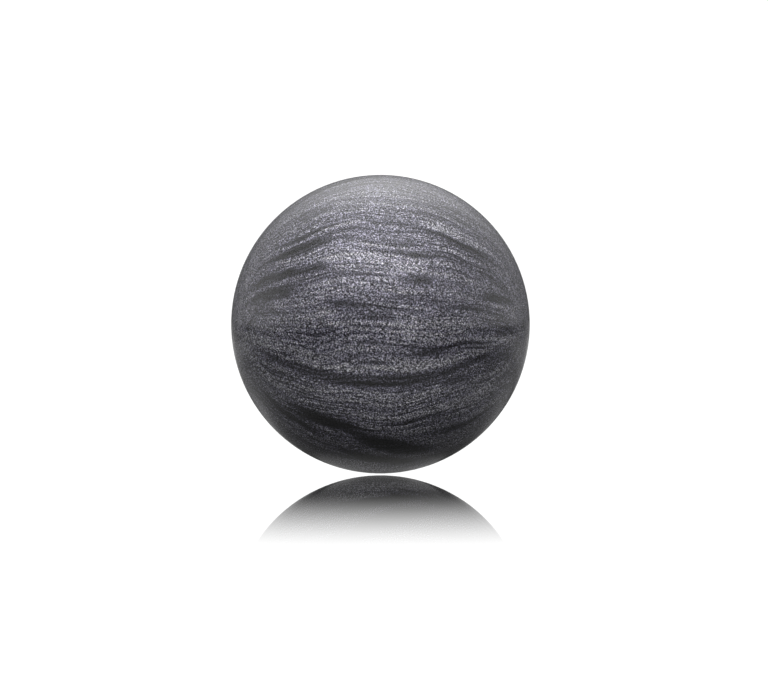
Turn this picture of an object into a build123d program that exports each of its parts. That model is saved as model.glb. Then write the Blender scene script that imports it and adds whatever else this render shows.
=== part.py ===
from build123d import *
import os

# Cue ball, 57.15 mm (2 1/4 in) across: resin layers cast around a weighted heart, then lacquered.
# Millimetres, +Z up, origin at the centre of the ball.
# Each layer was poured from one end of the X axis to the other, so X is the pearl's grain axis.
# Two pins on that axis held the heart in the middle of the mould while the layers set.

# Driving dimensions
ball_diameter = 57.15
clear_coat_thickness = 0.08
pearl_layer_thickness = 5.20
ground_coat_thickness = 0.30
pin_diameter = 4.00
pin_chamfer = 0.30
socket_depth = 6.00

# Radii that follow, from the outside in
ball_radius = ball_diameter / 2
pearl_radius = ball_radius - clear_coat_thickness
ground_radius = pearl_radius - pearl_layer_thickness
heart_radius = ground_radius - ground_coat_thickness
pin_radius = pin_diameter / 2

# Every sphere is turned so that its own poles lie on the grain axis
poles_on_x = (0, 90, 0)

os.makedirs("parts", exist_ok=True)

# Weighted heart: mineral-filled resin, with a blind socket for a pin at each end
with BuildPart() as weighted_heart:
    Sphere(heart_radius, rotation=poles_on_x)
    with Locations(Plane.YZ.offset(heart_radius), Plane.ZY.offset(heart_radius)):
        Hole(pin_radius, depth=socket_depth)
weighted_heart.part.label = "weighted_heart"
export_step(weighted_heart.part, "parts/weighted_heart.step")

# Centring pins: from the floor of each socket out to the pearl layer's surface,
# with a lead-in chamfer at the inner end and the outer end turned flush with the pearl
for side, outward in (("left", Plane.ZY), ("right", Plane.YZ)):
    with BuildPart() as centring_pin:
        with BuildSketch(outward.offset(heart_radius - socket_depth)):
            Circle(pin_radius)
        extrude(amount=socket_depth + ball_radius - heart_radius)
        inner_end = centring_pin.faces().sort_by(Axis(outward.origin, outward.z_dir))[0]
        chamfer(inner_end.edges(), pin_chamfer)
        Sphere(pearl_radius, rotation=poles_on_x, mode=Mode.INTERSECT)
    centring_pin.part.label = f"{side}_centring_pin"
    export_step(centring_pin.part, f"parts/{side}_centring_pin.step")

# Dark ground coat: near-black skin on the heart, seen as the depth between the silver streaks
with BuildPart() as dark_ground_coat:
    Sphere(ground_radius, rotation=poles_on_x)
    Sphere(heart_radius, rotation=poles_on_x, mode=Mode.SUBTRACT)
    with Locations(Plane.YZ):
        Hole(pin_radius)
dark_ground_coat.part.label = "dark_ground_coat"
export_step(dark_ground_coat.part, "parts/dark_ground_coat.step")

# Pearl layer: grey resin full of silver flake, the colour of the ball
with BuildPart() as pearl_layer:
    Sphere(pearl_radius, rotation=poles_on_x)
    Sphere(ground_radius, rotation=poles_on_x, mode=Mode.SUBTRACT)
    with Locations(Plane.YZ):
        Hole(pin_radius)
pearl_layer.part.label = "pearl_layer"
export_step(pearl_layer.part, "parts/pearl_layer.step")

# Clear coat: closed skin of polished lacquer over the pearl and the pin ends
with BuildPart() as clear_coat:
    Sphere(ball_radius, rotation=poles_on_x)
    Sphere(pearl_radius, rotation=poles_on_x, mode=Mode.SUBTRACT)
clear_coat.part.label = "clear_coat"
export_step(clear_coat.part, "parts/clear_coat.step")
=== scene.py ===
import math

import bpy
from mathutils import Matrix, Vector


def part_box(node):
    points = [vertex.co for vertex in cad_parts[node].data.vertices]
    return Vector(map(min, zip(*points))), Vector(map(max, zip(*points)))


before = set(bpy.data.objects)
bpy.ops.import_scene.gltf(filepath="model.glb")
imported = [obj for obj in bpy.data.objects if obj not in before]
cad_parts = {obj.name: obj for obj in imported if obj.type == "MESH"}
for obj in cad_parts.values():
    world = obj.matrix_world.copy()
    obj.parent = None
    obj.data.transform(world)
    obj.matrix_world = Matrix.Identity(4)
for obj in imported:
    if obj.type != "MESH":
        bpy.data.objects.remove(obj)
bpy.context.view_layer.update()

# ---- Sizes, in metres, from the CAD frame ----
low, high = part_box("clear_coat")
RADIUS = (high.x - low.x) / 2
INSIDE_COAT = (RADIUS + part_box("pearl_layer")[1].z) / 2    # between the coat's inner and outer faces
MIRROR_DEPTH = 0.00025    # the mirror lies this far under the ball, so its reflection stands clear
FLOOR_Z = low.z - MIRROR_DEPTH

DEGREE = 180 / math.pi
NOISE_LOW, NOISE_HIGH = 0.3, 0.7    # most of a noise's values lie between these


class Tree:
    """Builds a material's nodes. An argument may be a number, a tuple or another node's output."""

    def __init__(self, name=None, tree=None):
        if tree is None:
            self.material = bpy.data.materials.new(name)
            self.material.use_nodes = True
            tree = self.material.node_tree
        self.nodes, self.links = tree.nodes, tree.links
        self.nodes.clear()

    def add(self, kind, inputs=None, **settings):
        node = self.nodes.new(kind)
        for name, value in settings.items():
            setattr(node, name, value)
        for key, value in (inputs or {}).items():
            self.put(node.inputs[key], value)
        return node

    def put(self, socket, value):
        if isinstance(value, bpy.types.NodeSocket):
            self.links.new(value, socket)
        else:
            socket.default_value = value

    def coordinates(self, kind="Object"):
        return self.add("ShaderNodeTexCoord").outputs[kind]

    def maths(self, operation, *values, clamp=False):
        node = self.add("ShaderNodeMath", dict(enumerate(values)), operation=operation)
        node.use_clamp = clamp
        return node.outputs[0]

    def centred(self, value, span):
        """Turns 0 to 1 into as much below zero as above it."""
        return self.maths("MULTIPLY_ADD", value, span, -span / 2)

    def vector(self, operation, *values, output="Vector"):
        node = self.add("ShaderNodeVectorMath", dict(enumerate(values)), operation=operation)
        return node.outputs[output]

    def scaled(self, vector, factor):
        inputs = {0: vector, "Scale": factor}
        return self.add("ShaderNodeVectorMath", inputs, operation="SCALE").outputs[0]

    def xyz(self, x, y, z):
        return self.add("ShaderNodeCombineXYZ", {0: x, 1: y, 2: z}).outputs[0]

    def parts(self, vector):
        return self.add("ShaderNodeSeparateXYZ", {0: vector}).outputs

    def smooth(self, value, start, end, low=0.0, high=1.0):
        node = self.add("ShaderNodeMapRange", {"Value": value, "From Min": start, "From Max": end,
                                               "To Min": low, "To Max": high})
        node.interpolation_type = "SMOOTHSTEP"
        return node.outputs[0]

    def noise(self, vector, scale, detail, roughness=0.5):
        """Noise from 0 to 1, about one half."""
        inputs = {"Vector": vector, "Scale": scale, "Detail": detail, "Roughness": roughness}
        return self.add("ShaderNodeTexNoise", inputs).outputs["Fac"]

    def number_mix(self, share, a, b):
        return self.add("ShaderNodeMix", {0: share, 2: a, 3: b}, data_type="FLOAT").outputs[0]

    def colour_mix(self, share, a, b):
        return self.add("ShaderNodeMix", {0: share, 6: a, 7: b}, data_type="RGBA").outputs[2]

    def shader_mix(self, share, a, b):
        return self.add("ShaderNodeMixShader", {0: share, 1: a, 2: b}).outputs[0]

    def transparent(self):
        return self.add("ShaderNodeBsdfTransparent").outputs[0]

    def mirror(self, roughness):
        inputs = {"Color": WHITE, "Roughness": roughness}
        return self.add("ShaderNodeBsdfAnisotropic", inputs).outputs[0]

    def finish(self, shader):
        self.add("ShaderNodeOutputMaterial", {"Surface": shader})
        return self.material


WHITE = (1, 1, 1, 1)

# ---- Pearl: streaks placed one by one ----
# Places on the ball are angles in degrees: along is measured from the middle towards the +X end,
# and around is measured about X, 0 at the front (-Y) and 90 at the top.

# Each streak is a lens of silver (strength above 0) or of dark resin (below 0):
# (centre along, centre around, half length, half width, tilt, bow, strength), where tilt is how far
# the +X end lies above the centre and bow how far both ends do
STREAKS = [
    # Upper front: silver at the middle, dark patches at both sides
    (-28, 57, 12, 4, 0, 0, -0.5),
    (-12, 51, 14, 1.5, 0, 0, 0.5),
    (-18, 45, 13, 2, 0, 0, 0.45),
    (24, 46, 10, 2.5, 0, 0, 0.7),
    (20, 42, 28, 1.5, -3, -1, -0.5),
    (36, 39, 20, 3.5, -2, 0, -0.45),
    (-33, 38, 18, 3, 0, 0, -0.65),
    (0, 33, 18, 2, 0, 0, 0.2),
    # Painted highlight: this broad silver patch lies where the key light's highlight falls
    (-8, 26, 12, 5, 0, 0, 0.3),
    (14, 29, 8, 1, 0, 0, -0.4),
    (11, 25, 9, 1.5, 0, 0, 0.4),
    (-30, 26, 14, 3.5, -1, 0, -0.85),
    (-48, 28, 15, 5, 0, 0, -0.75),
    (-46, 18, 18, 5, 0, 0, -0.7),
    (14, 19, 10, 3, 0, 0, -0.75),
    (50, 17, 13, 4, 2, 0, -0.9),
    (6, 14, 9, 1.5, 0, 0, 0.4),
    (-12, 9, 10, 3, -1, 0, -0.65),
    (0, 5, 11, 2.5, -1, 0, -0.6),
    (36, 9, 15, 2.5, 1, 0, -0.4),
    # Across the middle: short flecks
    (-14, 2, 10, 1.5, -1, 0, 0.5),
    (48, -1, 16, 2.5, 0, 0, -0.45),
    (60, -9, 24, 4, 0, 0, 0.55),
    (-62, -7, 22, 4, 0, 0, 0.55),
    (-3, -4, 7, 2, 0, 0, -0.45),
    (19, -9, 8, 1.5, 0, 0, -0.45),
    (4, -10, 30, 3, 1, 2, -0.3),
    (-3, -13, 8, 1, 0, 0, -0.5),
    # The thin silver arc and the dark arc below it
    (-9, -15, 12, 1.5, 0, 0, 0.4),
    (0, -15, 60, 1.6, 1, 5, 0.8),
    (0, -20, 60, 3.2, 1, 9, -0.85),
    (30, -24, 9, 3.5, 0, 2, -0.5),
    # The broad grey lens, with silver at its ends; partly pearl streaks, partly painted light, made
    # stronger to lighten the lower sides
    (0, -32, 32, 8, 0, 0, 0.3),
    (6, -42, 20, 3, -3, 0, 0.5),
    (46, -32, 26, 3.5, 9, 3, 0.8),
    (34, -39, 14, 3, 3, 0, 0.5),
    (-48, -27, 20, 3, -9, 2, 0.6),
    # Black bands low on the front, each running down towards the +X end
    (-22, -40, 18, 3.5, -3, 0, -0.8),
    (-38, -46, 20, 3, -6, 0, -0.6),
    (5, -52, 17, 5.5, -7, 0, -1.2),
    (35, -50, 20, 3, -3, 0, -0.5),
    (-14, -53, 9, 1.5, -2, 0, 0.4),
    (-2, -61, 19, 4.5, -7, 0, -1.2),
    # Silver near the bottom
    (-10, -65, 16, 3, -2, 0, 1.0),
    (-1, -73, 24, 5.5, -3, 0, 1.3),
]
BACK_SHARE = 0.6    # how strong the placed streaks are on the back
LENS_EDGE = 1.2     # 1 fades a lens all the way from its middle line, more gives it a firmer edge

# ---- Pearl: noise that flows along X, between and through the placed streaks ----
# Each noise is (scale across the flow, scale along it, detail, roughness, seed)
BROAD = (4.5, 1.0, 1.0, 0.5, 3.0)
MEDIUM = (14.0, 1.1, 2.0, 0.6, 11.0)
FINE = (44.0, 1.6, 1.0, 0.6, 23.0)
BROAD_SPAN, MEDIUM_SPAN, FINE_SPAN = 0.9, 1.8, 2.3    # the whole swing of each, from dark to silver
MEDIUM_THREADS, FINE_THREADS = 1.6, 2.4    # how far each draws the lenses' edges out into threads
THREADS_LEVEL = 2.1    # taken off again, so that a lens keeps about its own width

# Bends of the flow: the whole swing in radians, and how quickly it changes
WAVE_BEND, WAVE_SCALE, WAVE_ALONG = 0.24, 1.3, 1.1
RIPPLE_BEND, RIPPLE_ACROSS, RIPPLE_ALONG = 0.05, 7.0, 2.2

END_WIDENING = 2.0  # the flow stops drawing together where the cosine of along is 1 over this
END_TURN = 1.4      # radians by which the flow has turned at each end
END_TURN_START = math.radians(52)    # along, where the turning begins

# ---- Pearl: flake and colour ----
GLITTER = 0.00024   # metres, size of the soft glitter
GLITTER_POWER, GLITTER_SHARE = 6.5, 0.25
FLAKE = 0.00013     # metres, size of the single flakes
FLAKE_POWER, FLAKE_SHARE = 7.0, 5.2
FLAKE_TILT = 0.2    # how far a flake may lean
SILVER_LEVEL, DARK_LEVEL = 0.36, 0.006
SILVER_TINT = (0.98, 0.96, 1.10, 1)
DARK_TINT = (0.95, 0.92, 1.25, 1)
EDGE_TINT = (0.4, 0.39, 0.45, 1)    # of the metal, seen edge on
PEARL_METALLIC, PEARL_ROUGHNESS = 0.85, 0.46
STREAK_RELIEF = {"Strength": 0.3, "Distance": 0.0004}


def streaks_map(t, along, around, feather):
    """Adds up the placed streaks. Each is a lens whose edge is drawn out into threads by feather."""
    total = 0.0
    for centre_along, centre_around, length, width, tilt, bow, strength in STREAKS:
        s = t.maths("MULTIPLY_ADD", along, 1 / length, -centre_along / length)
        s_squared = t.maths("MULTIPLY", s, s)
        middle = t.maths("MULTIPLY_ADD", s, tilt, centre_around)
        middle = t.maths("MULTIPLY_ADD", s_squared, bow, middle)
        across = t.maths("MULTIPLY", t.maths("SUBTRACT", around, middle), 1 / width)
        outside = t.maths("MULTIPLY_ADD", across, across, s_squared)
        body = t.maths("MULTIPLY_ADD", outside, -LENS_EDGE, feather, clamp=True)
        total = t.maths("MULTIPLY_ADD", body, strength, total)
    return total


def pearl_material():
    t = Tree("pearl")
    place = t.coordinates()
    x, y, z = t.parts(t.vector("MULTIPLY", place, (1 / RADIUS,) * 3))
    front = t.maths("MULTIPLY", y, -1.0)
    along = t.maths("ARCSINE", t.maths("MINIMUM", t.maths("MAXIMUM", x, -1.0), 1.0))
    around = t.maths("ARCTAN2", z, front)

    # Gentle waves bend the flow, and small ripples ruffle both the flow and the placed streaks
    wave = t.noise(t.xyz(t.maths("MULTIPLY", along, WAVE_ALONG), y, z), WAVE_SCALE, 1.0)
    ripple = t.noise(t.xyz(t.maths("MULTIPLY", along, RIPPLE_ALONG),
                           t.maths("MULTIPLY", y, RIPPLE_ACROSS),
                           t.maths("MULTIPLY", z, RIPPLE_ACROSS)), 1.0, 1.0)
    bend = t.centred(wave, WAVE_BEND)
    ruffle = t.centred(ripple, RIPPLE_BEND)
    # Near the two ends the flow turns and stops drawing together, so that it doesn't meet in a point
    turn = t.smooth(t.maths("ABSOLUTE", along), END_TURN_START, math.pi / 2, 0.0, END_TURN)
    flow_around = t.maths("ADD", t.maths("ADD", around, turn), t.maths("ADD", bend, ruffle))
    ring = t.maths("MINIMUM", t.maths("MULTIPLY", t.maths("COSINE", along), END_WIDENING), 1.0)
    ring_y = t.maths("MULTIPLY", t.maths("COSINE", flow_around), ring)
    ring_z = t.maths("MULTIPLY", t.maths("SINE", flow_around), ring)

    def flow_noise(across, lengthwise, detail, roughness, seed):
        at = t.xyz(t.maths("MULTIPLY_ADD", along, lengthwise, seed),
                   t.maths("MULTIPLY", ring_y, across), t.maths("MULTIPLY", ring_z, across))
        return t.noise(at, 1.0, detail, roughness)

    broad, medium, fine = flow_noise(*BROAD), flow_noise(*MEDIUM), flow_noise(*FINE)
    flow = t.maths("ADD", t.centred(broad, BROAD_SPAN), t.centred(medium, MEDIUM_SPAN))
    flow = t.maths("ADD", flow, t.centred(fine, FINE_SPAN))

    # The back has the front's placed streaks too, upside down, end for end and fainter
    side = t.maths("SIGN", front)
    streak_along = t.maths("MULTIPLY", t.maths("MULTIPLY", along, side), DEGREE)
    streak_around = t.maths("ADD", t.maths("ARCTANGENT", t.maths("DIVIDE", z, front)), ruffle)
    streak_around = t.maths("MULTIPLY", streak_around, DEGREE)
    threads = t.maths("ADD", t.maths("MULTIPLY", fine, FINE_THREADS),
                      t.maths("MULTIPLY", medium, MEDIUM_THREADS))
    feather = t.maths("ADD", threads, LENS_EDGE - THREADS_LEVEL)
    placed = streaks_map(t, streak_along, streak_around, feather)
    side_share = t.maths("MULTIPLY_ADD", side, (1 - BACK_SHARE) / 2, (1 + BACK_SHARE) / 2)
    placed = t.maths("MULTIPLY", placed, side_share)
    silver = t.smooth(t.maths("ADD", flow, placed), -1.0, 1.0)

    # Flake: a soft glitter, and single flakes with their own brightness and tilt
    glitter = t.maths("MULTIPLY", t.noise(place, 1 / GLITTER, 0.0), 2.0)
    glitter = t.maths("POWER", glitter, GLITTER_POWER)
    flakes = t.add("ShaderNodeTexVoronoi", {"Vector": place, "Scale": 1 / FLAKE}, feature="F1")
    own = flakes.outputs["Color"]
    spark = t.maths("POWER", t.parts(own)[0], FLAKE_POWER)
    grain = t.maths("MULTIPLY_ADD", spark, FLAKE_SHARE, t.maths("MULTIPLY", glitter, GLITTER_SHARE))
    level = t.maths("MULTIPLY", t.maths("MULTIPLY_ADD", silver, SILVER_LEVEL, DARK_LEVEL), grain)
    colour = t.scaled(t.colour_mix(silver, DARK_TINT, SILVER_TINT), level)

    tilt = t.scaled(t.vector("SUBTRACT", own, (0.5, 0.5, 0.5)), FLAKE_TILT)
    normal = t.add("ShaderNodeNewGeometry").outputs["Normal"]
    normal = t.vector("NORMALIZE", t.vector("ADD", normal, tilt))
    bump = t.add("ShaderNodeBump", {**STREAK_RELIEF, "Height": silver, "Normal": normal})

    # The clear coat has the gloss. A second one on the pearl would veil its dark bands
    shader = t.add("ShaderNodeBsdfPrincipled", {
        "Base Color": colour, "Metallic": PEARL_METALLIC, "Roughness": PEARL_ROUGHNESS,
        "Specular IOR Level": 0.0, "Specular Tint": EDGE_TINT, "Normal": bump.outputs[0]})
    return t.finish(shader.outputs[0])


# ---- Clear coat ----
LACQUER_IOR = 1.5
POLISH_LOW, POLISH_HIGH = 0.10, 0.16    # roughness of the polish, from place to place
POLISH_SCALE = 140.0


def clear_material():
    t = Tree("clear_lacquer")
    haze = t.noise(t.coordinates(), POLISH_SCALE, 3.0, 0.6)
    mirror = t.mirror(t.smooth(haze, NOISE_LOW, NOISE_HIGH, POLISH_LOW, POLISH_HIGH))
    through = t.transparent()
    share = t.add("ShaderNodeFresnel", {"IOR": LACQUER_IOR}).outputs[0]
    return t.finish(t.shader_mix(share, through, mirror))


def inner_face_material():
    t = Tree("clear_inner_face")
    return t.finish(t.transparent())


# ---- Inner resins: (colour, roughness) ----
HEART_RESIN = ((0.40, 0.40, 0.38), 0.6)
PIN_RESIN = ((0.055, 0.055, 0.06), 0.4)
GROUND_RESIN = ((0.012, 0.012, 0.014), 0.4)
GRAIN_SCALE = 900.0
GRAIN_DARK, GRAIN_LIGHT = 0.8, 1.2
GRAIN_RELIEF = {"Strength": 0.2, "Distance": 0.0002}


def plain_material(name, colour, roughness):
    t = Tree(name)
    grain = t.noise(t.coordinates(), GRAIN_SCALE, 4.0, 0.6)
    tint = t.scaled(colour, t.smooth(grain, NOISE_LOW, NOISE_HIGH, GRAIN_DARK, GRAIN_LIGHT))
    bump = t.add("ShaderNodeBump", {**GRAIN_RELIEF, "Height": grain})
    shader = t.add("ShaderNodeBsdfPrincipled", {
        "Base Color": tint, "Roughness": roughness, "Normal": bump.outputs[0]})
    return t.finish(shader.outputs[0])


def dress(node, *materials):
    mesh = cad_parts[node].data
    mesh.materials.clear()
    for material in materials:
        mesh.materials.append(material)
    return mesh


dress("pearl_layer", pearl_material())
dress("weighted_heart", plain_material("filled_resin", *HEART_RESIN))
pin = plain_material("pin_resin", *PIN_RESIN)
dress("left_centring_pin", pin)
dress("right_centring_pin", pin)
dress("dark_ground_coat", plain_material("dark_resin", *GROUND_RESIN))
coat = dress("clear_coat", clear_material(), inner_face_material())
for face in coat.polygons:
    face.material_index = 0 if face.center.length > INSIDE_COAT else 1

# ---- Stage ----
# The camera sees a plain white floor and backdrop. The ball sees a dimmer studio: soft lights all
# round, and painted pools of light and painted shade in the floor's glow.
BACKDROP = 1.1      # the white that the camera sees
FLOOR_HALF = 0.9
PAPER = (0.03, 0.03, 0.03, 1)
MIRROR_START, MIRROR_END = 0.036, 0.158     # metres from the ball's foot, over which the mirror fades

# Painted light and painted shade in the floor's glow: (middle, inner radius, outer radius, glow), over
# a glow everywhere
FLOOR_GLOW = 0.18
PAINTED_POOLS = [
    ((0, -0.13, 0), 0.0, 0.15, 0.45),   # a painted pool of light in front of the ball
    ((0, 0, 0), 0.04, 0.11, 0.23),      # a smaller painted pool of light round it
    ((0, 0, 0), 0.05, 0.25, -0.13),     # a wide dimmer space, painted shade
    ((0, 0, 0), 0.016, 0.05, -0.22),    # the ball's own shade, a painted shadow
    ((0, 0, 0), 0.010, 0.016, 0.16),    # painted light caught under the ball
    ((0, 0, 0), 0.003, 0.008, -0.08),   # and painted shade at its foot
    ((-0.2, 0.05, 0), 0.05, 0.2, 0.3),  # painted light at the foot of the left-hand card
    ((0.2, 0.05, 0), 0.05, 0.2, 0.3),   # painted light at the foot of the right-hand card
    ((0.01, 0.065, 0), 0.03, 0.07, -0.12),  # painted shade behind the ball in place of a dark card, for its dark outline
    ((0, 0.35, 0), 0.05, 0.25, 0.25),   # painted light farther back
]
LEAST_GLOW = 0.05   # what the floor keeps where painted shades add up

# Soft light from all round, as smooth lobes: (azimuth, elevation, sharpness, strength), where
# azimuth 0 is the camera's side (-Y) and 90 is +X, over a light everywhere
DOME_LIGHT = 0.12
LOBES = [
    (0, 90, 2, 1.05),       # overhead sheet
    (180, 62, 6, 2.0),      # high behind, for the pale cap
    (-30, 55, 9, 1.12),     # key, front left
    (35, 50, 8, 0.98),      # fill, front right
    (0, 0, 3, 0.6),         # low fill beside the camera
    (95, 5, 4, 1.0),        # right-hand card
    (-95, 5, 4, 1.15),      # left-hand card
    (180, 0, 30, -0.06),    # the dark card's upper half
]

# The camera stands at the photograph's angle
CAMERA_DISTANCE = 0.62
CAMERA_ELEVATION = math.radians(2.0)
SENSOR = 36.0    # millimetres
CLIP_START = 0.01
BALL_SHARE = 0.3890         # these three are shares of the picture's width
BALL_ABOVE_MIDDLE = 0.0277
BALL_LEFT_OF_MIDDLE = 0.0046


def stage_floor():
    corners = [(x * FLOOR_HALF, y * FLOOR_HALF, FLOOR_Z)
               for x, y in ((-1, -1), (1, -1), (1, 1), (-1, 1))]
    mesh = bpy.data.meshes.new("floor")
    mesh.from_pydata(corners, [], [(0, 1, 2, 3)])
    floor = bpy.data.objects.new("floor", mesh)
    bpy.context.scene.collection.objects.link(floor)
    t = Tree("floor")
    place = t.vector("MULTIPLY", t.coordinates(), (1, 1, 0))
    reach = t.vector("LENGTH", place, output="Value")
    path = t.add("ShaderNodeLightPath").outputs
    camera_ray = path["Is Camera Ray"]
    share = t.maths("MULTIPLY", t.smooth(reach, MIRROR_START, MIRROR_END, 1.0, 0.0), camera_ray)
    seen = t.maths("MAXIMUM", camera_ray, path["Is Singular Ray"])
    # The floor's glow as the ball sees it, with the painted pools of light and shade
    pools = FLOOR_GLOW
    for middle, inner, outer, brightness in PAINTED_POOLS:
        distance = t.vector("DISTANCE", place, middle, output="Value")
        pools = t.maths("ADD", t.smooth(distance, inner, outer, brightness, 0.0), pools)
    pools = t.maths("MAXIMUM", pools, LEAST_GLOW)
    glow = t.add("ShaderNodeEmission", {
        "Color": WHITE, "Strength": t.number_mix(seen, pools, BACKDROP)})
    paper = t.add("ShaderNodeBsdfDiffuse", {"Color": PAPER})
    lit = t.add("ShaderNodeAddShader", {0: glow.outputs[0], 1: paper.outputs[0]})
    mesh.materials.append(t.finish(t.shader_mix(share, lit.outputs[0], t.mirror(0.0))))


def stage_world():
    world = bpy.data.worlds.new("studio")
    bpy.context.scene.world = world
    world.use_nodes = True
    t = Tree(tree=world.node_tree)
    direction = t.coordinates("Generated")
    light = DOME_LIGHT
    for azimuth, elevation, sharpness, strength in LOBES:
        side, up = math.radians(azimuth), math.radians(elevation)
        axis = (math.sin(side) * math.cos(up), -math.cos(side) * math.cos(up), math.sin(up))
        facing = t.vector("DOT_PRODUCT", direction, axis, output="Value")
        lobe = t.maths("POWER", t.maths("MAXIMUM", facing, 0.0), sharpness)
        light = t.maths("MULTIPLY_ADD", lobe, strength, light)
    path = t.add("ShaderNodeLightPath").outputs
    seen = t.maths("MAXIMUM", path["Is Camera Ray"], path["Is Singular Ray"])
    background = t.add("ShaderNodeBackground", {
        "Color": WHITE, "Strength": t.number_mix(seen, light, BACKDROP)})
    t.add("ShaderNodeOutputWorld", {"Surface": background.outputs[0]})


def stage_camera():
    lens = bpy.data.cameras.new("camera")
    camera = bpy.data.objects.new("camera", lens)
    bpy.context.scene.collection.objects.link(camera)
    bpy.context.scene.camera = camera
    back = Vector((0, -math.cos(CAMERA_ELEVATION), math.sin(CAMERA_ELEVATION)))
    camera.location = back * CAMERA_DISTANCE
    camera.rotation_euler = (math.pi / 2 - CAMERA_ELEVATION, 0, 0)
    lens.sensor_width = SENSOR
    outline = RADIUS / math.sqrt(CAMERA_DISTANCE ** 2 - RADIUS ** 2)
    lens.lens = BALL_SHARE / 2 / outline * SENSOR
    lens.shift_x = BALL_LEFT_OF_MIDDLE
    lens.shift_y = -BALL_ABOVE_MIDDLE
    lens.clip_start = CLIP_START


stage_floor()
stage_world()
stage_camera()
bpy.context.scene.view_settings.view_transform = "Standard"
